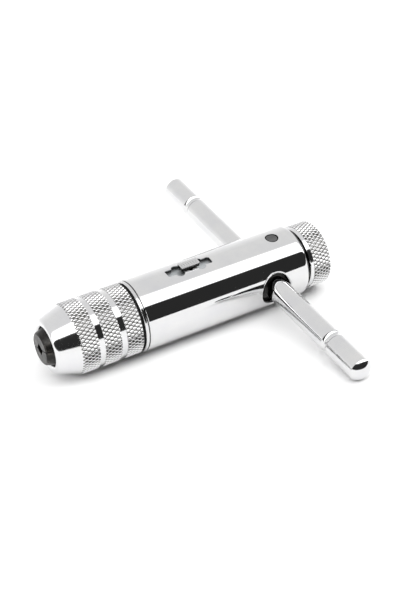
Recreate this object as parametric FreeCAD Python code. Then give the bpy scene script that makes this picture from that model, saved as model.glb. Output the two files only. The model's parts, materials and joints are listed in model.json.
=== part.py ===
import FreeCAD, Part
import math
import os

# Ratcheting tap wrench with a sliding T-bar. Millimetres.
#
# Tool frame: X runs along the tool axis from the chuck (jaw face at x = 0) to the clamp knob,
# Y runs along the T-bar and Z points up through the selector.  Every piece is drawn in the tool
# frame and rolled about the tool axis at the end, by the angle at which the tool lies on a table
# with the body tube and one end of the T-bar touching it.

# ---- driving dimensions -------------------------------------------------------------------

fit_gap = 0.02          # radial gap between pieces that are pressed or glued together
run_gap = 0.05          # radial gap of a running fit
free_gap = 0.10         # gap between pieces that pass one another

body_r = 10.0
body_bore_r = 8.6       # round the handle block
ratchet_bore_r = 9.1    # in front of it, round the ratchet
ratchet_bore_rear = 58.6
body_front = 26.95
body_rear = 77.1
rear_round = 1.8        # radius of the tube's rear edge, which begins at rear_round_x
rear_round_x = 75.5

bar_x = 66.5            # where the T-bar crosses the tool axis
bar_r = 3.25
bar_half = 49.4
bar_dome = 1.9
bar_groove_y = 35.55
bar_groove_half = 1.1
bar_groove_depth = 0.45
cross_hole_x = bar_x - 0.6
cross_hole_r = 4.25
cross_hole_round = 0.75

pin_x = bar_x + 3.6
pin_r = 1.5
pin_recess_r = 1.87
pin_recess_depth = 0.45

selector_x = 43.9
selector_travel = 3.2   # from the locked middle position to either end
slot_half_length = 6.7
slot_half_width = 1.4
slot_corner_r = 0.45
neck_half_length = 2.3  # the slot is narrower under the button
neck_half_width = 1.05
notch_r = 1.3
middle_notch_r = 0.6
cap_half_length = 2.8
cap_half_width = 1.2
cap_top = 11.25
cap_ribs = 7
foot_half_length = 2.0
foot_half_width = 0.6
plate_inner_r = 7.45

nut_front = 1.5
nut_knurl = 8.65        # where the cone ends and the knurling begins
nut_rear = 25.3
nut_r = 9.8
nose_x = 2.2            # where the cone begins, behind the rounded lip
nose_r = 7.58
lip_r = 6.5
nut_grooves = (13.4, 19.7)
nut_groove_width = 1.6
nut_groove_depth = 0.35
nut_land_x = 2.7

jaw_angle = -22.0       # turn of the jaws about the tool axis
jaw_face_r = 4.31       # the jaws' cone at their front face
jaw_r = 6.0
jaw_rear = 9.9
jaw_tail_rear = 15.8
jaw_tail_width = 5.9
jaw_split = 0.12        # half the gap between the closed jaws
jaw_cone = math.radians(20)
jaw_clearance = 0.13    # between the jaws' cone and the nut's
grip_half_diagonal = 1.75
jaw_spring_x = 7.3
jaw_spring_y = 4.2

spindle_front = 10.2
spindle_thread_r = 7.9
spindle_shoulder = 25.1
journal_r = 6.0
shaft_r = 3.25
shaft_rear = 58.7
tap_bore_r = 3.7
tap_bore_end = 22.0

bush_front = 25.85
bush_flange_rear = 26.75
bush_flange_r = 9.9
bush_neck_r = 9.45
bush_rear = 29.2

seal_lip_r = 9.3
seal_r = 8.65

housing_front = 30.2
housing_rear = 57.5
housing_front_wall = 3.6
housing_rear_wall = 4.0

gear_teeth = 12
gear_tip_r = 4.9
gear_root_r = 4.1
gear_front = 37.0
gear_rear = 51.0

pawl_front = 38.0
pawl_rear = 50.0
pawl_pivot_angle = -38.0
pawl_pivot_r = 5.95
pawl_pin_r = 0.7
pawl_inner_r = 5.15
pawl_outer_r = 6.75
pawl_tail_angle = 32.0

block_front = 59.2
block_rear = 74.7

knob_front = 77.8
knob_rear = 84.7
knob_r = 9.1
knob_rim = 1.2
knob_rim_r = 8.8
knob_chamfer = 0.5
hub_r = 5.2
stem_r = 3.0
pad_stem_r = 1.2
pad_thickness = 1.1
ball_r = 1.25

axis_x = FreeCAD.Vector(1, 0, 0)
axis_y = FreeCAD.Vector(0, 1, 0)
axis_z = FreeCAD.Vector(0, 0, 1)
origin = FreeCAD.Vector(0, 0, 0)

# The tool rolls until the lower edge of the bar's domed end is as low as the body tube.
bar_edge = bar_half - bar_dome
roll = math.degrees(math.asin(body_r / math.hypot(bar_edge, bar_r)) - math.atan2(bar_r, bar_edge))


# ---- small helpers ------------------------------------------------------------------------

def vec(x, y, z):
    return FreeCAD.Vector(x, y, z)


def rod(x0, x1, r):
    """A round bar along the tool axis."""
    return Part.makeCylinder(r, x1 - x0, vec(x0, 0, 0), axis_x)


def tube(x0, x1, r_out, r_in):
    return rod(x0, x1, r_out).cut(rod(x0, x1, r_in))


def block(x0, x1, y0, y1, z0, z1):
    return Part.makeBox(x1 - x0, y1 - y0, z1 - z0, vec(x0, y0, z0))


def turned(profile):
    """A solid of revolution about the tool axis from (x, radius) corners."""
    points = [vec(x, 0, r) for x, r in profile]
    wire = Part.makePolygon(points + points[:1])
    return Part.Face(wire).revolve(origin, axis_x, 360)


def polar(r, degrees, x=0.0):
    """A point in a plane across the tool axis; 0 degrees is +Y and 90 degrees is +Z."""
    a = math.radians(degrees)
    return vec(x, r * math.cos(a), r * math.sin(a))


def arc(r, a0, a1, x):
    return Part.Arc(polar(r, a0, x), polar(r, (a0 + a1) / 2, x), polar(r, a1, x)).toShape()


def line(p, q):
    return Part.makeLine(p, q)


def extruded(edges, length):
    """A prism along the tool axis over a closed outline drawn across it."""
    return Part.Face(Part.Wire(edges)).extrude(vec(length, 0, 0))


def sector(x0, x1, r_out, r_in, a0, a1):
    """A piece of tube between two angles."""
    edges = [arc(r_out, a0, a1, x0), line(polar(r_out, a1, x0), polar(r_in, a1, x0)),
             arc(r_in, a1, a0, x0), line(polar(r_in, a0, x0), polar(r_out, a0, x0))]
    return extruded(edges, x1 - x0)


def wedge_of(x0, x1, r, a0, a1):
    """A pie slice, for cutting angular windows."""
    centre = vec(x0, 0, 0)
    edges = [arc(r, a0, a1, x0), line(polar(r, a1, x0), centre), line(centre, polar(r, a0, x0))]
    return extruded(edges, x1 - x0)


def spin(shape, degrees):
    """Turns a copy of a shape about the tool axis."""
    copy = shape.copy()
    copy.rotate(origin, axis_x, degrees)
    return copy


def mirrored(shape):
    """The same piece on the other side of the tool's middle plane."""
    return shape.mirror(origin, axis_y)


def coil(base, direction, length, r, wire_r, turns):
    """An open coil spring that starts at base and runs along direction."""
    helix = Part.makeHelix((length - 2 * wire_r) / turns, length - 2 * wire_r, r)
    start = vec(r, 0, 0)
    section = Part.Wire(Part.makeCircle(wire_r, start, vec(0, 1, 0)))
    spring = Part.Wire(helix).makePipeShell([section], True, True)
    spring.translate(vec(0, 0, wire_r))
    place = FreeCAD.Placement(base, FreeCAD.Rotation(axis_z, direction))
    spring.Placement = place.multiply(spring.Placement)
    return spring


# ---- body ---------------------------------------------------------------------------------

def selector_slot():
    """The slot's outline cut straight down: square ends, a narrower neck and notches on both edges."""
    depth = body_r + 2
    cut = block(selector_x - slot_half_length, selector_x + slot_half_length,
                -slot_half_width, slot_half_width, 0, depth)
    for side in (-1, 1):
        edge = side * neck_half_width
        cheek = block(selector_x - neck_half_length, selector_x + neck_half_length,
                      min(edge, 2 * edge), max(edge, 2 * edge), -1, depth + 1)
        cut = cut.cut(cheek)
    corners = [e for e in cut.Edges if e.BoundBox.ZLength > 1
               and abs(abs(e.BoundBox.XMin - selector_x) - slot_half_length) < 0.01]
    cut = cut.makeFillet(slot_corner_r, corners)
    # a round notch for each end position, and a small one for the middle
    for x, r in ((-selector_travel, notch_r), (0, middle_notch_r), (selector_travel, notch_r)):
        for side in (-1, 1):
            centre = vec(selector_x + x, side * (neck_half_width + 0.1), 0)
            cut = cut.fuse(Part.makeCylinder(r, depth, centre, axis_z))
    return cut


def make_body_tube():
    # the rear edge is an arc that ends at the rear face
    centre_r = body_r - rear_round
    sweep = math.asin((body_rear - rear_round_x) / rear_round)
    edge = [vec(rear_round_x + rear_round * math.sin(a), 0, centre_r + rear_round * math.cos(a))
            for a in (0, sweep / 2, sweep)]
    corners = [edge[2], vec(body_rear, 0, body_bore_r), vec(ratchet_bore_rear, 0, body_bore_r),
               vec(ratchet_bore_rear, 0, ratchet_bore_r), vec(body_front, 0, ratchet_bore_r),
               vec(body_front, 0, body_r), edge[0]]
    outline = [line(p, q) for p, q in zip(corners, corners[1:])]
    shell = Part.Face(Part.Wire([Part.Arc(*edge).toShape()] + outline)).revolve(origin, axis_x, 360)
    front = [e for e in shell.Edges
             if e.BoundBox.XMax < body_front + 0.01 and e.BoundBox.ZMax > body_r - 0.01]
    shell = shell.makeFillet(0.25, front)
    shell = shell.cut(Part.makeCylinder(cross_hole_r, 4 * body_r, vec(cross_hole_x, -2 * body_r, 0), axis_y))
    # the lips of the cross holes are rounded over
    lips = [e for e in shell.Edges if e.BoundBox.XLength < 2 * cross_hole_r + 0.1 and e.BoundBox.ZLength > 1
            and all(abs(math.hypot(p.y, p.z) - body_r) < 0.01 for p in e.discretize(5))
            and abs(e.BoundBox.Center.x - cross_hole_x) < cross_hole_r]
    shell = shell.makeFillet(cross_hole_round, lips)
    shell = shell.cut(selector_slot())
    recess_floor = vec(pin_x, 0, body_r - pin_recess_depth)
    shell = shell.cut(Part.makeCylinder(pin_recess_r, body_r, recess_floor, axis_z))
    return shell.cut(Part.makeCylinder(pin_r + fit_gap, body_r, vec(pin_x, 0, 2), axis_z))


def make_front_bush():
    """The bearing in the tube's mouth; its rounded flange shows as a bright ring."""
    bush = turned([(bush_front, journal_r + run_gap), (bush_front, bush_flange_r),
                   (bush_flange_rear, bush_flange_r), (bush_flange_rear, bush_neck_r),
                   (body_front - fit_gap, bush_neck_r), (body_front - fit_gap, ratchet_bore_r - fit_gap),
                   (bush_rear, ratchet_bore_r - fit_gap), (bush_rear, journal_r + run_gap)])
    rims = [e for e in bush.Edges if e.BoundBox.ZMax > bush_flange_r - 0.01 and e.BoundBox.XLength < 0.01]
    return bush.makeFillet(0.3, rims)


def make_handle_block():
    holder = rod(block_front, block_rear, body_bore_r - fit_gap)
    holder = holder.cut(Part.makeCylinder(bar_r + run_gap, 4 * body_r, vec(bar_x, -2 * body_r, 0), axis_y))
    holder = holder.cut(rod(bar_x, block_rear + 1, stem_r + run_gap))
    holder = holder.cut(Part.makeCylinder(ball_r + run_gap, body_r, vec(bar_x, 0, -body_r), axis_z))
    return holder.cut(Part.makeCylinder(pin_r + fit_gap, body_r, vec(pin_x, 0, stem_r + 1.7), axis_z))


def make_locking_pin():
    pin = Part.makeCylinder(pin_r, body_r, vec(pin_x, 0, stem_r + 1.8), axis_z)
    return pin.common(rod(pin_x - 2 * pin_r, pin_x + 2 * pin_r, body_r - 0.1))


def make_bar_detent_ball():
    return Part.makeSphere(ball_r, vec(bar_x, 0, -(bar_r + ball_r + fit_gap)))


def make_bar_detent_spring():
    top = -(bar_r + 2 * ball_r + 2 * fit_gap)
    return coil(vec(bar_x, 0, -(body_bore_r - fit_gap)), axis_z, top + body_bore_r - fit_gap, 0.95, 0.2, 3)


# ---- handle bar ---------------------------------------------------------------------------

def make_t_bar():
    """Half of the bar's outline, from tip to tip, turned about the bar's own axis."""
    dome_r = (bar_r ** 2 + bar_dome ** 2) / (2 * bar_dome)
    sweep = math.asin(bar_r / dome_r)
    tip = [(dome_r * math.sin(a), bar_half - dome_r + dome_r * math.cos(a)) for a in (sweep, sweep / 2, 0)]
    groove = [(bar_r, bar_groove_y - bar_groove_half), (bar_r - bar_groove_depth, bar_groove_y),
              (bar_r, bar_groove_y + bar_groove_half)]
    far = [[vec(r, y, 0) for r, y in points] for points in (groove, tip)]
    near = [[vec(r, -y, 0) for r, y in reversed(points)] for points in (tip, groove)]
    arcs = near + far
    outline = [Part.Arc(*points).toShape() for points in arcs]
    outline += [line(before[2], after[0]) for before, after in zip(arcs, arcs[1:] + arcs[:1])]
    bar = Part.Face(Part.Wire(Part.sortEdges(outline)[0])).revolve(origin, axis_y, 360)
    bar.translate(vec(bar_x, 0, 0))
    return bar


# ---- clamp knob ---------------------------------------------------------------------------

def make_clamp_pad():
    face = bar_x + bar_r + fit_gap
    plate = rod(face, face + pad_thickness, stem_r - 0.35)
    return plate.fuse(rod(face + pad_thickness, face + pad_thickness + 2, pad_stem_r)).removeSplitter()


def make_clamp_knob():
    hub_front = block_rear + 0.5
    stem_front = bar_x + bar_r + fit_gap + pad_thickness + free_gap
    socket_end = stem_front + 2.2
    rim_rear = knob_front + knob_rim
    return turned([(stem_front, pad_stem_r + run_gap),
                   (stem_front, stem_r - 0.25), (stem_front + 0.3, stem_r),
                   (hub_front, stem_r), (hub_front, hub_r), (knob_front, hub_r),
                   (knob_front, knob_rim_r - 0.45), (knob_front + 0.35, knob_rim_r), (rim_rear, knob_rim_r),
                   (rim_rear, knob_r), (knob_rear - knob_chamfer, knob_r), (knob_rear, knob_r - knob_chamfer),
                   (knob_rear, 0), (socket_end, 0), (socket_end, pad_stem_r + run_gap)])


# ---- selector -----------------------------------------------------------------------------

def make_selector_plate():
    plate_r = ratchet_bore_r - free_gap
    half = slot_half_length + selector_travel + 0.1
    plate = sector(selector_x - half, selector_x + half, plate_r, plate_inner_r, 60, 120)
    # two cam fingers hang beside the pawl tails, one for each pawl
    for side, station in ((-1, selector_x - 4.5), (1, selector_x + 1.5)):
        a = 90 - side * 42
        plate = plate.fuse(sector(station, station + 3, plate_inner_r + 0.15, 5.4, a - 5, a + 5))
        plate = plate.fuse(sector(station, station + 3, plate_r, plate_inner_r, min(a, 90), max(a, 90)))
    return plate.removeSplitter()


def make_selector_button():
    plate_r = ratchet_bore_r - free_gap
    foot = block(selector_x - foot_half_length, selector_x + foot_half_length,
                 -foot_half_width, foot_half_width, plate_inner_r, body_r + 0.4)
    foot = foot.cut(rod(selector_x - cap_half_length, selector_x + cap_half_length, plate_r + 0.01))
    cap = block(selector_x - cap_half_length, selector_x + cap_half_length, -cap_half_width, cap_half_width,
                body_r + 0.12, cap_top)
    cap = cap.makeFillet(0.3, [e for e in cap.Edges if e.BoundBox.ZLength > 0.5])
    # finger grooves across the top
    end = 0.3
    pitch = 2 * (cap_half_length - end) / cap_ribs
    for rib in range(cap_ribs):
        groove_x = selector_x - cap_half_length + end + (rib + 0.5) * pitch
        groove = vec(groove_x, -2 * cap_half_width, cap_top + 0.06)
        cap = cap.cut(Part.makeCylinder(0.25, 4 * cap_half_width, groove, axis_y))
    return cap.fuse(foot).removeSplitter()


def make_selector_spring():
    """A flat strip beside the button's foot, whose V-shaped bump clicks into the slot's notches."""
    inner = foot_half_width + 0.05
    outer = inner + 0.2
    tip = 1.55
    path = [(-1.8, outer), (-0.7, outer), (0, tip), (0.7, outer), (1.8, outer),
            (1.8, inner), (0.6, inner), (0, tip - 0.28), (-0.6, inner), (-1.8, inner)]
    low = ratchet_bore_r - free_gap + 0.02
    points = [vec(selector_x + x, -y, low) for x, y in path]
    return Part.Face(Part.makePolygon(points + points[:1])).extrude(vec(0, 0, 0.8))


# ---- ratchet ------------------------------------------------------------------------------

def make_ratchet_gear():
    step = 360 / gear_teeth
    blank = rod(gear_front, gear_rear, gear_tip_r)
    gap_half_root = 0.30 * step
    gap_half_tip = 0.40 * step
    gap_half = ((gear_root_r, -gap_half_root), (gear_tip_r + 0.2, -gap_half_tip),
                (gear_tip_r + 0.2, gap_half_tip), (gear_root_r, gap_half_root))
    for tooth in range(gear_teeth):
        outline = [polar(r, tooth * step + a, gear_front) for r, a in gap_half]
        gap = Part.Face(Part.makePolygon(outline + outline[:1])).extrude(vec(gear_rear - gear_front, 0, 0))
        blank = blank.cut(gap)
    return blank.cut(rod(gear_front, gear_rear, shaft_r + fit_gap))


def make_pawl_housing():
    shell = rod(housing_front, housing_rear, ratchet_bore_r - fit_gap)
    cavity = rod(housing_front + housing_front_wall, housing_rear - housing_rear_wall, gear_tip_r + 0.3)
    shell = shell.cut(cavity)
    for a0, a1 in ((-55, 62), (118, 235)):
        window = wedge_of(housing_front + housing_front_wall, housing_rear - housing_rear_wall,
                          body_r, a0, a1)
        shell = shell.cut(window)
    # the selector plate slides over a flat-bottomed channel along the top
    channel = sector(housing_front - 1, housing_rear + 1, body_r, 7.3, 56, 124)
    shell = shell.cut(channel)
    shell = shell.cut(rod(housing_front - 1, housing_rear + 1, shaft_r + run_gap))
    for side in (0, 1):
        a = pawl_pivot_angle if side == 0 else 180 - pawl_pivot_angle
        pivot = polar(pawl_pivot_r, a, housing_front - 1)
        length = housing_rear - housing_front + 2
        shell = shell.cut(Part.makeCylinder(pawl_pin_r + fit_gap, length, pivot, axis_x))
        a_step = -60 if side == 0 else 240
        # a shallow step along the saddle's edge seats the foot of the pawl spring
        shell = shell.cut(sector(pawl_front - 0.3, pawl_rear + 0.3, body_r, 8.16, a_step - 6, a_step + 6))
    return shell


def make_right_pawl():
    pivot = polar(pawl_pivot_r, pawl_pivot_angle, pawl_front)
    length = pawl_rear - pawl_front
    lever = sector(pawl_front, pawl_rear, pawl_outer_r, pawl_inner_r, pawl_pivot_angle, pawl_tail_angle)
    lever = lever.fuse(Part.makeCylinder(1.2, length, pivot, axis_x).common(
        tube(pawl_front, pawl_rear, pawl_outer_r + 0.4, pawl_inner_r)))
    nose = [vec(pawl_front, pawl_inner_r + 0.5, -0.95), vec(pawl_front, gear_root_r + 0.15, -0.45),
            vec(pawl_front, gear_root_r + 0.15, 0.45), vec(pawl_front, pawl_inner_r + 0.5, 0.95)]
    lever = lever.fuse(Part.Face(Part.makePolygon(nose + nose[:1])).extrude(vec(length, 0, 0)))
    lever = lever.cut(Part.makeCylinder(pawl_pin_r + run_gap, length, pivot, axis_x))
    return lever.removeSplitter()


def make_right_pawl_pin():
    pivot = polar(pawl_pivot_r, pawl_pivot_angle, housing_front + 0.4)
    return Part.makeCylinder(pawl_pin_r, housing_rear - housing_front - 0.8, pivot, axis_x)


def make_right_pawl_spring():
    """A bent leaf: its foot sits on the housing and its tip presses on the pawl's back."""
    foot = sector(pawl_front + 1, pawl_rear - 1, 8.42, 8.18, -65, -46)
    outer = [polar(r, degrees, pawl_front + 1) for r, degrees in ((8.42, -46.5), (7.9, -14), (7.08, 22))]
    inner = [polar(r, degrees, pawl_front + 1) for r, degrees in ((8.18, -46.5), (7.66, -14), (6.86, 22))]
    leaf = extruded([Part.Arc(*outer).toShape(), line(outer[2], inner[2]),
                     Part.Arc(*reversed(inner)).toShape(), line(inner[0], outer[0])],
                    pawl_rear - pawl_front - 2)
    return foot.fuse(leaf).removeSplitter()


# ---- spindle and chuck --------------------------------------------------------------------

def make_spindle():
    shaft = turned([(spindle_front, tap_bore_r), (spindle_front, spindle_thread_r - 0.5),
                    (spindle_front + 0.5, spindle_thread_r), (spindle_shoulder, spindle_thread_r),
                    (spindle_shoulder, journal_r), (bush_rear + 0.4, journal_r), (bush_rear + 0.4, shaft_r),
                    (housing_rear + 0.2, shaft_r), (housing_rear + 0.2, 2.7), (housing_rear + 0.8, 2.7),
                    (housing_rear + 0.8, shaft_r), (shaft_rear, shaft_r), (shaft_rear, 0),
                    (tap_bore_end + 1.5, 0), (tap_bore_end, tap_bore_r)])
    half_width = jaw_tail_width / 2 + free_gap
    slot = block(spindle_front - 1, jaw_tail_rear + 0.4, -half_width, half_width, -body_r, body_r)
    return shaft.cut(spin(slot, jaw_angle))


def make_thrust_washer():
    return tube(spindle_shoulder + free_gap, bush_front - free_gap, 7.5, journal_r + run_gap)


def make_snap_ring():
    ring = tube(housing_rear + 0.25, housing_rear + 0.75, 4.3, 2.72)
    return ring.cut(block(housing_rear, housing_rear + 1, -0.9, 0.9, 0, body_r))


def make_dust_seal():
    """A rubber ring in the nut's rear recess: it slides with the nut but doesn't turn with it."""
    inner = spindle_thread_r + run_gap
    lip_front = nut_rear + 0.05
    lip_rear = bush_front - free_gap
    return turned([(nut_rear - 1.6, inner), (nut_rear - 1.6, seal_r), (lip_front, seal_r),
                   (lip_front, seal_lip_r), (lip_rear, seal_lip_r), (lip_rear, inner)])


def nut_outline():
    """Outer profile of the nut: rounded lip, cone, then three knurled bands parted by plain grooves."""
    points = [(nut_front + 0.3, lip_r - 0.75), (nut_front + 0.05, lip_r - 0.25), (nut_front, lip_r),
              (nut_front + 0.1, lip_r + 0.45), (nose_x - 0.3, nose_r - 0.3), (nose_x, nose_r),
              (nut_knurl, nut_r)]
    for centre in nut_grooves:
        a, b = centre - nut_groove_width / 2, centre + nut_groove_width / 2
        points += [(a, nut_r), (a, nut_r - nut_groove_depth), (b, nut_r - nut_groove_depth), (b, nut_r)]
    return points + [(nut_rear - 0.3, nut_r), (nut_rear, nut_r - 0.3)]


def make_chuck_nut():
    land_r = jaw_face_r + nut_land_x * math.tan(jaw_cone) + jaw_clearance
    bore_r = spindle_thread_r + free_gap
    cone_end = nut_land_x + (bore_r - land_r) / math.tan(jaw_cone)
    recess = nut_rear - 1.7
    recess_r = seal_r + run_gap
    inner = [(nut_rear, recess_r), (recess, recess_r), (recess, bore_r), (cone_end, bore_r),
             (nut_land_x, land_r), (nut_land_x - 0.4, land_r)]
    return turned(nut_outline() + inner)


def make_upper_jaw():
    """One of two matching jaws; the other is this one turned half a turn."""
    cone_end = (jaw_r - jaw_face_r) / math.tan(jaw_cone)
    edge = 0.3
    blank = turned([(0, 0), (0, jaw_face_r - edge), (edge / 2, jaw_face_r - edge / 4),
                    (edge, jaw_face_r + edge * math.tan(jaw_cone)), (cone_end, jaw_r),
                    (jaw_rear, jaw_r), (jaw_rear, 0)])
    half_width = jaw_tail_width / 2
    tail = block(jaw_rear - 0.5, jaw_tail_rear, -half_width, half_width, 0, jaw_r)
    jaw = blank.fuse(tail.common(rod(0, jaw_tail_rear, jaw_r)))
    jaw = jaw.common(block(-1, jaw_tail_rear + 1, -body_r, body_r, jaw_split, body_r))
    notch = [vec(-1, -grip_half_diagonal - 1, -1), vec(-1, 0, grip_half_diagonal),
             vec(-1, grip_half_diagonal + 1, -1)]
    jaw = jaw.cut(Part.Face(Part.makePolygon(notch + notch[:1])).extrude(vec(jaw_tail_rear + 2, 0, 0)))
    for side in (-1, 1):
        jaw = jaw.cut(Part.makeCylinder(0.95, 2.3, vec(jaw_spring_x, side * jaw_spring_y, 0), axis_z))
    return jaw.removeSplitter()


def make_jaw_spring(side):
    return coil(vec(jaw_spring_x, side * jaw_spring_y, -2.25), axis_z, 4.5, 0.65, 0.15, 6)


# ---- export -------------------------------------------------------------------------------

def all_pieces():
    right_pawl = make_right_pawl()
    right_pin = make_right_pawl_pin()
    right_spring = make_right_pawl_spring()
    upper_jaw = spin(make_upper_jaw(), jaw_angle)
    return {
        "body_tube": make_body_tube(),
        "front_bush": make_front_bush(),
        "handle_block": make_handle_block(),
        "locking_pin": make_locking_pin(),
        "bar_detent_ball": make_bar_detent_ball(),
        "bar_detent_spring": make_bar_detent_spring(),
        "t_bar": make_t_bar(),
        "clamp_pad": make_clamp_pad(),
        "clamp_knob": make_clamp_knob(),
        "selector_plate": make_selector_plate(),
        "selector_button": make_selector_button(),
        "selector_spring": make_selector_spring(),
        "pawl_housing": make_pawl_housing(),
        "right_pawl_pin": right_pin,
        "left_pawl_pin": mirrored(right_pin),
        "right_pawl": right_pawl,
        "left_pawl": mirrored(right_pawl),
        "right_pawl_spring": right_spring,
        "left_pawl_spring": mirrored(right_spring),
        "ratchet_gear": make_ratchet_gear(),
        "spindle": make_spindle(),
        "thrust_washer": make_thrust_washer(),
        "snap_ring": make_snap_ring(),
        "dust_seal": make_dust_seal(),
        "chuck_nut": make_chuck_nut(),
        "upper_jaw": upper_jaw,
        "lower_jaw": spin(upper_jaw, 180),
        "near_jaw_spring": spin(make_jaw_spring(-1), jaw_angle),
        "far_jaw_spring": spin(make_jaw_spring(1), jaw_angle),
    }


os.makedirs("parts", exist_ok=True)
for name, shape in all_pieces().items():
    spin(shape, roll).exportStep("parts/" + name + ".step")
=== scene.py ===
import json
import math

import bpy
import numpy as np
from mathutils import Matrix, Vector


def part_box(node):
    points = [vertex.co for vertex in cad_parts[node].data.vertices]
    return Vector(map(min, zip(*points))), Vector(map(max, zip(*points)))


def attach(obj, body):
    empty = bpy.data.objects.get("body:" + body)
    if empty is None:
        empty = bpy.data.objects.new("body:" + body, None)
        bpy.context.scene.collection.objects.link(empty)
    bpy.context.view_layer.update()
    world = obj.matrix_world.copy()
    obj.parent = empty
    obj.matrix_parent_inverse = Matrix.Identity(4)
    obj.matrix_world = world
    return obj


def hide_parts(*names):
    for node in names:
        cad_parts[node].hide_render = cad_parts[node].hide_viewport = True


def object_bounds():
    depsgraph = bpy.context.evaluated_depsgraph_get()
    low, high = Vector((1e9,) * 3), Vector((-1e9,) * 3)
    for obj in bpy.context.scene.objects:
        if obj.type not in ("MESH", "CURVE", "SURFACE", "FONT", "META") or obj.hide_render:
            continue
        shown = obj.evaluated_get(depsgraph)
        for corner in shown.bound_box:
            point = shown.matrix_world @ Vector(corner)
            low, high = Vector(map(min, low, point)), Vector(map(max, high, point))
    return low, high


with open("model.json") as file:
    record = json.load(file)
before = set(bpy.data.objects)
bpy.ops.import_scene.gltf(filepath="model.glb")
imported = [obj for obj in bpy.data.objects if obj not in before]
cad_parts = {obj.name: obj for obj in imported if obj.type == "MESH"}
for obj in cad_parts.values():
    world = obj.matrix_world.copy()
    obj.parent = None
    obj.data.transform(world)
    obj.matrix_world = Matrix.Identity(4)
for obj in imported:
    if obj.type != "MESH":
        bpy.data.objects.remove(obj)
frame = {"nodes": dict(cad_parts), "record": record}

# Ratcheting tap wrench with a sliding T-bar, in metres, in the row frame: X runs along the tool
# from the jaws to the clamp knob, Z is up and the tool lies on the floor.

cad_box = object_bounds()
mm = 0.001

# ---- driving dimensions ---------------------------------------------------------------------

nut_r = 9.8 * mm
nut_mouth_r = 5.42 * mm
nut_lip_r = 6.45 * mm           # the foremost ring of the nut's rounded lip
nut_lip_depth = 0.8 * mm
nut_lip_arc = 140               # degrees of an ellipse, from the mouth round to the cone
nut_lip_points = 13
nut_mouth_land = 1.2 * mm       # from the front to where the cone that closes the jaws starts
nut_cone_start = (2.2 * mm, 7.58 * mm)      # x and radius
nut_cone_end = 8.65 * mm
nut_cone_rows = 12
nut_bore_r = 8.0 * mm
nut_recess_r = 8.7 * mm         # the recess over the dust seal
nut_recess_depth = 1.7 * mm
nut_grooves = (13.4 * mm, 19.7 * mm)
nut_groove_width = 1.6 * mm
nut_groove_depth = 0.35 * mm
nut_knurl_end = 0.3 * mm        # from the last band to the rear face
jaw_cone = math.radians(20)

knob_r = 9.1 * mm
knob_front = 77.8 * mm
knob_rim_r = 8.8 * mm
knob_rim = 1.2 * mm
knob_knurl_end = 0.45 * mm      # from the knurl to the rear face
knob_face_rings = (5.0 * mm, 2.0 * mm)      # radii of the mesh's rings on the flat back
knob_hub_r = 5.2 * mm
knob_hub = 2.6 * mm
knob_stem_r = 3.0 * mm
knob_socket_r = 1.25 * mm       # the socket in the stem's end that holds the clamp pad
knob_socket_depth = 2.1 * mm    # 0.1 mm less than the CAD's socket

# rounded edges, as (distance from the end face, step in from the full radius)
nut_rear_edge = ((0.12 * mm, 0.42 * mm), (0, 0.55 * mm))
knob_stem_edge = ((0, 0.25 * mm), (0.3 * mm, 0))
knob_rim_edge = ((0, 0.45 * mm), (0.1 * mm, 0.18 * mm), (0.35 * mm, 0))
knob_rear_edge = ((0.2 * mm, 0.42 * mm), (0.05 * mm, 0.6 * mm), (0, 0.8 * mm))

knurl_pitch = 1.15 * mm         # from groove to groove round the part
knurl_lean = math.radians(31)   # how far the grooves lean from the tool's axis
knurl_depth = 0.34 * mm
knurl_steps = 5                 # mesh cells across half a diamond
row_gap = 0.05 * mm             # from the cone's last row to the knurl's first
crease = math.radians(50)       # mesh edges that turn more than this stay sharp

camera_place = Vector((-0.0883, -0.2575, 0.1755))
camera_target = Vector((0.0454, -0.0036, 0.0))
camera_roll = math.radians(-4.5)
camera_lens = 75.2

floor_half = 1.5                # metres

wall_light = 1.2
ceiling_light = 0.95
soft_box_light = 3.5
dark_side_light = 0.03
ceiling_from = 40               # degrees across the tool, from 0 at the far horizon
soft_box_from = 105
soft_box_to = 130
near_horizon = 180
ceiling_fade = 9                # degrees over which the ceiling fades into the soft box
dark_fade = 4                   # and the soft box into the dark side

# the tool lies rolled about its axis, as far as its bar leans
mounts = {mount["name"]: mount for mount in frame["record"]["mounts"]}
bar_direction = Vector(mounts["far_bar_end"]["axis"])
roll = math.atan2(bar_direction.z, bar_direction.y)
floor_z = cad_box[0].z


# ---- mesh helpers ---------------------------------------------------------------------------

def mesh_object(name, points, faces):
    """A smooth-shaded mesh object with sharp creases."""
    mesh = bpy.data.meshes.new(name)
    mesh.from_pydata(points.tolist(), [], faces)
    mesh.validate()
    mesh.polygons.foreach_set("use_smooth", [True] * len(mesh.polygons))
    mesh.set_sharp_from_angle(angle=crease)
    piece = bpy.data.objects.new(name, mesh)
    bpy.context.scene.collection.objects.link(piece)
    return piece


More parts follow.
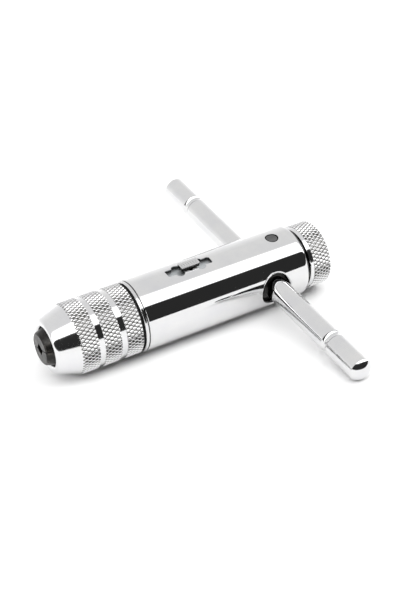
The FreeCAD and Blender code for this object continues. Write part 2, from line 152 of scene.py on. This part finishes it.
def turned(name, profile, solid=False):
    """A piece turned about the tool axis, from (x, radii, valley depths) for each row.

    In a pierced piece the last row joins the first. In a solid one a flat face closes each of them.
    """
    xs, radii, valleys = (np.array(part) for part in zip(*profile))
    rows, columns = radii.shape
    angles = np.arange(columns) * 2 * np.pi / columns + roll
    x = np.repeat(xs[:, None], columns, axis=1)
    points = np.stack([x, radii * np.cos(angles), radii * np.sin(angles)], axis=-1).reshape(-1, 3)
    faces = []
    for row in range(rows - 1 if solid else rows):
        below = (row + 1) % rows
        for column in range(columns):
            right = (column + 1) % columns
            a, b = row * columns + column, row * columns + right
            c, d = below * columns + right, below * columns + column
            # each cell folds along its lower diagonal, so that grooves stay crisp
            if radii[row, column] + radii[below, right] < radii[row, right] + radii[below, column]:
                faces += [(a, b, c), (a, c, d)]
            else:
                faces += [(a, b, d), (b, c, d)]
    if solid:
        last = (rows - 1) * columns
        faces += [tuple(range(columns))[::-1], tuple(range(last, last + columns))]
    piece = mesh_object(name, points, faces)
    valley = piece.data.attributes.new("valley", "FLOAT", "POINT")
    valley.data.foreach_set("value", valleys.reshape(-1))
    return piece


def knurl_count(r):
    """How many diamonds go round a part of radius r."""
    return round(2 * math.pi * r / knurl_pitch)


def knurl_height(x, columns, count):
    """Height of a diamond knurl with cushion-shaped diamonds, 0 in the grooves and 1 on the tips."""
    axial_pitch = knurl_pitch / math.tan(knurl_lean)
    around = np.arange(columns) * count / columns
    along = x / axial_pitch
    height = np.ones(columns)
    for lean in (-1, 1):
        phase = around + lean * along
        off_tip = 1 - 2 * np.abs(phase - np.round(phase))
        height *= 1 - off_tip ** 2
    return height


# ---- knurled pieces -------------------------------------------------------------------------

def knurled_rows(x0, x1, r, columns, count, cap=None):
    """Rows of a knurled band; cap, if given, is a radius that the knurl can't pass at each x."""
    cell = knurl_pitch / math.tan(knurl_lean) / 2 / knurl_steps
    steps = max(2, math.ceil((x1 - x0) / cell))
    rows = []
    for x in np.linspace(x0, x1, steps + 1):
        valley = 1 - knurl_height(x, columns, count)
        row = r - knurl_depth * valley
        rows.append((x, np.minimum(row, cap(x)) if cap else row, valley))
    return rows


def plain_rows(points, columns):
    """Round rows, one for each (x, radius)."""
    return [(x, np.full(columns, r), np.zeros(columns)) for x, r in points]


def edge_rows(face, inward, r, edge, columns):
    """Rows of a rounded edge; inward is 1 at a face towards the jaws and -1 at one towards the back."""
    return plain_rows([(face + inward * along, r - step) for along, step in edge], columns)


def make_chuck_nut():
    low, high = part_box("chuck_nut")
    front, rear = low.x, high.x
    count = knurl_count(nut_r)
    columns = count * 2 * knurl_steps
    start_x, start_r = nut_cone_start
    slope = (nut_r - start_r) / (nut_cone_end - start_x)

    def cone(x):
        return min(start_r + slope * (x - start_x), nut_r)

    # the lip is an arc of an ellipse from the mouth round to the cone
    lip_half = nut_lip_r - nut_mouth_r
    lip = [(front + nut_lip_depth * (1 - math.sin(a)), nut_lip_r - lip_half * math.cos(a))
           for a in np.radians(np.linspace(0, nut_lip_arc, nut_lip_points))]
    rows = plain_rows(lip, columns)
    # the knurl starts on the cone, where its grooves first cut in
    knurl_front = nut_cone_end - knurl_depth / slope
    cone_xs = np.linspace(start_x, knurl_front - row_gap, nut_cone_rows)
    rows += plain_rows([(x, cone(x)) for x in cone_xs], columns)
    start = knurl_front
    groove_r = nut_r - nut_groove_depth
    for centre in nut_grooves:
        a, b = centre - nut_groove_width / 2, centre + nut_groove_width / 2
        rows += knurled_rows(start, a, nut_r, columns, count, cone)
        rows += plain_rows([(a, groove_r), ((a + b) / 2, groove_r), (b, groove_r)], columns)
        start = b
    rows += knurled_rows(start, rear - nut_knurl_end, nut_r, columns, count)
    rows += edge_rows(rear, -1, nut_r, nut_rear_edge, columns)
    # the dust seal's recess, the bore and the cone that closes the jaws
    recess = rear - nut_recess_depth
    land = front + nut_mouth_land
    cone_rear = land + (nut_bore_r - nut_mouth_r) / math.tan(jaw_cone)
    rows += plain_rows([(rear, nut_recess_r), (recess, nut_recess_r), (recess, nut_bore_r),
                        (cone_rear, nut_bore_r), (land, nut_mouth_r)], columns)
    nut = turned("chuck_nut_knurled", rows)
    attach(nut, "nut")
    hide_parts("chuck_nut")
    return nut


def make_clamp_knob():
    low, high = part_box("clamp_knob")
    stem_front, rear = low.x, high.x
    hub_front = knob_front - knob_hub
    rim_rear = knob_front + knob_rim
    count = knurl_count(knob_r)
    columns = count * 2 * knurl_steps
    # out of the socket, along the stem and the hub, and over the rim, the knurl and the back
    rows = plain_rows([(stem_front + knob_socket_depth, knob_socket_r), (stem_front, knob_socket_r)], columns)
    rows += edge_rows(stem_front, 1, knob_stem_r, knob_stem_edge, columns)
    rows += plain_rows([(hub_front, knob_stem_r), (hub_front, knob_hub_r), (knob_front, knob_hub_r)], columns)
    rows += edge_rows(knob_front, 1, knob_rim_r, knob_rim_edge, columns)
    rows += plain_rows([(rim_rear, knob_rim_r)], columns)
    rows += knurled_rows(rim_rear, rear - knob_knurl_end, knob_r, columns, count)
    rows += edge_rows(rear, -1, knob_r, knob_rear_edge, columns)
    rows += plain_rows([(rear, r) for r in knob_face_rings], columns)
    knob = turned("clamp_knob_knurled", rows, solid=True)
    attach(knob, "knob")
    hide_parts("clamp_knob")
    return knob


# ---- materials ------------------------------------------------------------------------------

def grey(tone):
    return (tone, tone, tone)


class ShaderGraph:
    """Short calls for the shader nodes that materials and the studio both use."""

    def __init__(self, data):
        self.data = data
        data.use_nodes = True
        self.nodes = data.node_tree.nodes
        self.links = data.node_tree.links

    def between(self, value, low, high, from_low=0.3, from_high=0.7):
        """Value carried from one range to another; most of a noise lies from 0.3 to 0.7."""
        node = self.nodes.new("ShaderNodeMapRange")
        node.inputs["From Min"].default_value = from_low
        node.inputs["From Max"].default_value = from_high
        node.inputs["To Min"].default_value = low
        node.inputs["To Max"].default_value = high
        self.links.new(value, node.inputs["Value"])
        return node.outputs["Result"]

    def ramp(self, value, stops):
        """A colour for value, from (place, colour) stops."""
        node = self.nodes.new("ShaderNodeValToRGB")
        elements = node.color_ramp.elements
        elements.remove(elements[1])
        for index, (place, colour) in enumerate(stops):
            element = elements[0] if index == 0 else elements.new(place)
            element.position = place
            element.color = (*colour, 1)
        self.links.new(value, node.inputs["Fac"])
        return node.outputs["Color"]

    def math(self, operation, a, b):
        """A Math node; a and b are numbers or sockets."""
        node = self.nodes.new("ShaderNodeMath")
        node.operation = operation
        for value, socket in zip((a, b), node.inputs):
            if isinstance(value, (int, float)):
                socket.default_value = value
            else:
                self.links.new(value, socket)
        return node.outputs["Value"]

    def mix(self, factor, first, second):
        """One colour turning into another; a Mix node's colour sockets are told apart only by number."""
        node = self.nodes.new("ShaderNodeMix")
        node.data_type = "RGBA"
        self.links.new(factor, node.inputs["Factor"])
        self.links.new(first, node.inputs[6])
        self.links.new(second, node.inputs[7])
        return node.outputs[2]


class Material(ShaderGraph):
    """A procedural material: a Principled shader with short calls for the nodes it needs."""

    def __init__(self, name, metallic=0.0):
        super().__init__(bpy.data.materials.new(name))
        self.shader = self.nodes["Principled BSDF"]
        self.shader.inputs["Metallic"].default_value = metallic
        self.place = self.nodes.new("ShaderNodeTexCoord").outputs["Object"]

    def stretched(self, x, y, z):
        """Object coordinates scaled per axis, for grain that runs one way."""
        mapping = self.nodes.new("ShaderNodeMapping")
        mapping.inputs["Scale"].default_value = (x, y, z)
        self.links.new(self.place, mapping.inputs["Vector"])
        return mapping.outputs["Vector"]

    def noise(self, size, detail=3.0, roughness=0.55, place=None):
        """Noise with features about size metres across."""
        node = self.nodes.new("ShaderNodeTexNoise")
        node.inputs["Scale"].default_value = 1 / size
        node.inputs["Detail"].default_value = detail
        node.inputs["Roughness"].default_value = roughness
        self.links.new(place or self.place, node.inputs["Vector"])
        return node.outputs["Fac"]

    def off_axis(self):
        """How far a point is from the tool's axis."""
        split = self.nodes.new("ShaderNodeSeparateXYZ")
        self.links.new(self.place, split.inputs[0])
        y, z = split.outputs["Y"], split.outputs["Z"]
        squares = self.math("ADD", self.math("MULTIPLY", y, y), self.math("MULTIPLY", z, z))
        return self.math("POWER", squares, 0.5)

    def valley(self):
        """How deep a point is in the knurl's grooves, from 0 on the tips to 1."""
        node = self.nodes.new("ShaderNodeAttribute")
        node.attribute_name = "valley"
        return node.outputs["Fac"]

    def colour(self, value):
        self.links.new(value, self.shader.inputs["Base Color"])

    def rough(self, value):
        self.links.new(value, self.shader.inputs["Roughness"])

    def bump(self, height, depth, strength):
        """Relief of the given depth in metres, stacked on any relief that is there already."""
        node = self.nodes.new("ShaderNodeBump")
        node.inputs["Distance"].default_value = depth
        node.inputs["Strength"].default_value = strength
        self.links.new(height, node.inputs["Height"])
        normal = self.shader.inputs["Normal"]
        if normal.is_linked:
            self.links.new(normal.links[0].from_socket, node.inputs["Normal"])
        self.links.new(node.outputs["Normal"], normal)


def chrome(name, tone, smooth, worn, turning=0.0006 * mm, bore_below=None, bore_shade_tone=0.045, knurled=False):
    """Bright plating: mirror-like, with smudges, fine polishing lines and a faint ripple.

    Nearer the axis than bore_below its colour darkens, as painted shade in bores and recesses. A knurled
    piece has painted shade in its grooves.
    """
    m = Material(name, metallic=1.0)
    smudge = m.noise(6 * mm, detail=4.0, roughness=0.6)
    lines = m.noise(0.25 * mm, detail=2.0, roughness=0.5, place=m.stretched(1.0, 0.06, 0.06))
    speck = m.noise(0.5 * mm, detail=5.0, roughness=0.7)
    plated = m.ramp(smudge, [(0.3, (tone * 0.95, tone * 0.95, tone * 0.97)), (0.6, (tone, tone, tone)),
                             (0.8, (tone * 1.04, tone * 1.03, tone * 1.02))])
    blur = m.math("MULTIPLY", m.between(smudge, 0.0, 1.0), m.between(speck, 0.4, 1.0))
    rough = m.between(blur, smooth, worn, from_low=0.0, from_high=1.0)
    if bore_below:
        # painted shade: nearer the axis than bore_below the colour turns near black, standing in for the
        # shade inside bores, slot walls and holes
        bore_edge = 0.1 * mm
        inside = m.between(m.off_axis(), 1.0, 0.0, from_low=bore_below - bore_edge, from_high=bore_below)
        painted_bore_shade = m.ramp(speck, [(0.3, grey(bore_shade_tone * 0.5)), (0.7, grey(bore_shade_tone * 1.5))])
        plated = m.mix(inside, plated, painted_bore_shade)
    if knurled:
        # painted shade: the colour darkens with the groove's depth, standing in for the shade that falls in
        # the knurl's grooves
        valley = m.valley()
        groove_shade_mask = m.between(valley, 0.0, 1.0, from_low=0.5, from_high=0.92)
        painted_groove_shade = m.ramp(speck, [(0.3, (0.05, 0.05, 0.045)), (0.7, (0.15, 0.145, 0.13))])
        plated = m.mix(groove_shade_mask, plated, painted_groove_shade)
        off_tip = m.between(valley, 0.0, 1.0, from_low=0.0, from_high=0.4)
        valley_blur = 0.14
        rough = m.math("ADD", rough, m.math("MULTIPLY", off_tip, valley_blur))
    m.colour(plated)
    m.rough(rough)
    m.bump(lines, depth=turning, strength=0.4)
    m.bump(m.noise(2.5 * mm, detail=2.0, roughness=0.4), depth=0.004 * mm, strength=0.5)
    return m.data


def steel(name, light=(0.56, 0.55, 0.53), dark=(0.36, 0.35, 0.34), rough=(0.22, 0.45)):
    """Machined or ground steel with fine grain and darker patches of oil."""
    m = Material(name, metallic=1.0)
    patch = m.noise(3 * mm, detail=5.0, roughness=0.65)
    rubbed = tuple(min(1.0, c * 1.12) for c in light)
    m.colour(m.ramp(patch, [(0.3, dark), (0.55, light), (0.8, rubbed)]))
    grain = m.noise(0.4 * mm, detail=4.0, roughness=0.6, place=m.stretched(0.15, 1.0, 1.0))
    m.rough(m.between(grain, *rough))
    m.bump(grain, depth=0.004 * mm, strength=0.6)
    return m.data


def black_oxide(name, wear=0.66):
    """Black oxide over turned steel: near black with pits and, past wear in the noise, browner patches."""
    m = Material(name, metallic=0.9)
    patch = m.noise(1.6 * mm, detail=6.0, roughness=0.7)
    m.colour(m.ramp(patch, [(0.25, grey(0.013)), (0.5, (0.028, 0.027, 0.026)),
                            (wear, (0.06, 0.055, 0.051)), (0.85, (0.18, 0.16, 0.14))]))
    m.rough(m.between(patch, 0.42, 0.24))
    m.bump(m.noise(0.18 * mm, detail=4.0, roughness=0.6), depth=0.008 * mm, strength=0.5)
    turning = m.noise(0.6 * mm, detail=2.0, roughness=0.5, place=m.stretched(1.0, 0.2, 0.2))
    m.bump(turning, depth=0.005 * mm, strength=0.5)
    return m.data


def brass(name):
    """Turned brass with duller patches."""
    m = Material(name, metallic=1.0)
    patch = m.noise(1.2 * mm, detail=4.0, roughness=0.6)
    m.colour(m.ramp(patch, [(0.3, (0.42, 0.27, 0.09)), (0.6, (0.66, 0.46, 0.18)),
                            (0.85, (0.78, 0.58, 0.27))]))
    m.rough(m.between(patch, 0.4, 0.2))
    m.bump(m.noise(0.3 * mm), depth=0.004 * mm, strength=0.5)
    return m.data


def rubber(name):
    """Black rubber with a faint bloom."""
    m = Material(name)
    bloom = m.noise(2.0 * mm, detail=5.0, roughness=0.65)
    m.colour(m.ramp(bloom, [(0.3, grey(0.006)), (0.7, grey(0.013)), (0.9, grey(0.03))]))
    m.rough(m.between(bloom, 0.55, 0.8))
    m.shader.inputs["Specular IOR Level"].default_value = 0.15
    m.bump(m.noise(0.12 * mm, detail=3.0, roughness=0.6), depth=0.01 * mm, strength=0.5)
    return m.data


def dress(nodes, material):
    """Put one material on CAD nodes."""
    for name in nodes:
        for slot in frame["nodes"][name].material_slots:
            slot.material = material


# ---- make the pieces ------------------------------------------------------------------------

nut = make_chuck_nut()
knob = make_clamp_knob()

# knurled=True paints shade into the grooves of the nut's and the knob's knurls
nut.data.materials.append(chrome("nut_chrome", tone=0.72, smooth=0.05, worn=0.14, turning=0.003 * mm,
                                 knurled=True))
knob.data.materials.append(chrome("knob_chrome", tone=0.74, smooth=0.05, worn=0.14, knurled=True))
# the tube's bore, slot walls and holes get painted shade nearer the axis than 9.85 mm
dress(["body_tube"], chrome("body_chrome", tone=0.70, smooth=0.02, worn=0.08, bore_below=9.85 * mm))
dress(["t_bar"], chrome("bar_chrome", tone=0.70, smooth=0.04, worn=0.14))
dress(["front_bush"], chrome("bush_chrome", tone=0.68, smooth=0.05, worn=0.16))
# the button gets painted shade nearer the axis than 11.1 mm, on its sides and where it sits in the slot
dress(["selector_button"], chrome("button_nickel", tone=0.66, smooth=0.14, worn=0.3,
                                  bore_below=11.1 * mm, bore_shade_tone=0.12))
dress(["selector_plate"], steel("plate_nickel", light=(0.50, 0.52, 0.53), dark=(0.43, 0.45, 0.46),
                                rough=(0.5, 0.62)))
dress(["selector_spring"], chrome("spring_bright", tone=0.8, smooth=0.12, worn=0.2))
dress(["locking_pin"], steel("pin_grey", light=grey(0.15), dark=grey(0.11), rough=(0.4, 0.55)))
dress(["upper_jaw", "lower_jaw"], black_oxide("jaw_black"))
dress(["spindle"], black_oxide("spindle_black"))
dress(["handle_block"], black_oxide("block_black", wear=0.75))
dress(["pawl_housing", "thrust_washer"], steel("machined_steel"))
dress(["ratchet_gear", "right_pawl", "left_pawl"],
      steel("hardened_steel", light=(0.42, 0.40, 0.37), dark=(0.24, 0.22, 0.20), rough=(0.25, 0.5)))
dress(["bar_detent_ball", "right_pawl_pin", "left_pawl_pin"],
      steel("bearing_steel", light=grey(0.70), dark=grey(0.55), rough=(0.06, 0.16)))
dress(["bar_detent_spring", "right_pawl_spring", "left_pawl_spring", "near_jaw_spring", "far_jaw_spring",
       "snap_ring"],
      steel("spring_steel", light=(0.34, 0.32, 0.30), dark=(0.2, 0.19, 0.18), rough=(0.2, 0.4)))
dress(["clamp_pad"], brass("pad_brass"))
dress(["dust_seal"], rubber("seal_rubber"))


# ---- studio ---------------------------------------------------------------------------------

def make_floor():
    corners = np.array([(x * floor_half, y * floor_half, floor_z)
                        for x, y in ((-1, -1), (1, -1), (1, 1), (-1, 1))])
    floor = mesh_object("floor", corners, [(0, 1, 2, 3)])
    m = Material("white_sheet")
    m.colour(m.ramp(m.noise(80 * mm), [(0.3, grey(0.95)), (0.7, grey(0.97))]))
    m.shader.inputs["Roughness"].default_value = 0.7
    m.shader.inputs["Specular IOR Level"].default_value = 0.2
    floor.data.materials.append(m.data)


def make_world():
    """A plain soft studio: a pale far wall and ceiling, a soft box and a dark near side.

    Its tones go by angle across the tool: 0 is the far horizon, 90 overhead and 180 the near horizon.
    """
    world = bpy.data.worlds.new("studio")
    bpy.context.scene.world = world
    graph = ShaderGraph(world)
    graph.nodes.clear()
    split = graph.nodes.new("ShaderNodeSeparateXYZ")
    graph.links.new(graph.nodes.new("ShaderNodeTexCoord").outputs["Generated"], split.inputs[0])
    angle_across = graph.math("ARCTAN2", split.outputs["Z"], split.outputs["Y"])
    half_turn = graph.between(angle_across, 0, 1, from_low=0, from_high=math.pi)
    stops = [(0, wall_light), (ceiling_from, ceiling_light), (soft_box_from - ceiling_fade, ceiling_light),
             (soft_box_from, soft_box_light), (soft_box_to, soft_box_light),
             (soft_box_to + dark_fade, dark_side_light), (near_horizon, dark_side_light)]
    tones = graph.ramp(half_turn, [(angle / near_horizon, grey(light / soft_box_light))
                                   for angle, light in stops])
    studio = graph.nodes.new("ShaderNodeBackground")
    studio.inputs["Strength"].default_value = soft_box_light
    graph.links.new(tones, studio.inputs["Color"])
    # the camera sees a pale backdrop on every side, the dark one included
    backdrop = graph.nodes.new("ShaderNodeBackground")
    backdrop.inputs["Color"].default_value = (1, 1, 1, 1)
    either = graph.nodes.new("ShaderNodeMixShader")
    graph.links.new(graph.nodes.new("ShaderNodeLightPath").outputs["Is Camera Ray"], either.inputs["Fac"])
    graph.links.new(studio.outputs[0], either.inputs[1])
    graph.links.new(backdrop.outputs[0], either.inputs[2])
    output = graph.nodes.new("ShaderNodeOutputWorld")
    graph.links.new(either.outputs[0], output.inputs["Surface"])


def make_camera():
    data = bpy.data.cameras.new("camera")
    data.lens = camera_lens
    data.clip_start = 0.01
    data.clip_end = 20
    camera = bpy.data.objects.new("camera", data)
    bpy.context.scene.collection.objects.link(camera)
    aim = (camera_target - camera_place).to_track_quat("-Z", "Y").to_matrix().to_4x4()
    camera.matrix_world = Matrix.Translation(camera_place) @ aim @ Matrix.Rotation(camera_roll, 4, "Z")
    bpy.context.scene.camera = camera


make_floor()
make_world()
make_camera()
bpy.context.scene.view_settings.view_transform = "Standard"
bpy.context.scene.cycles.use_denoising = True
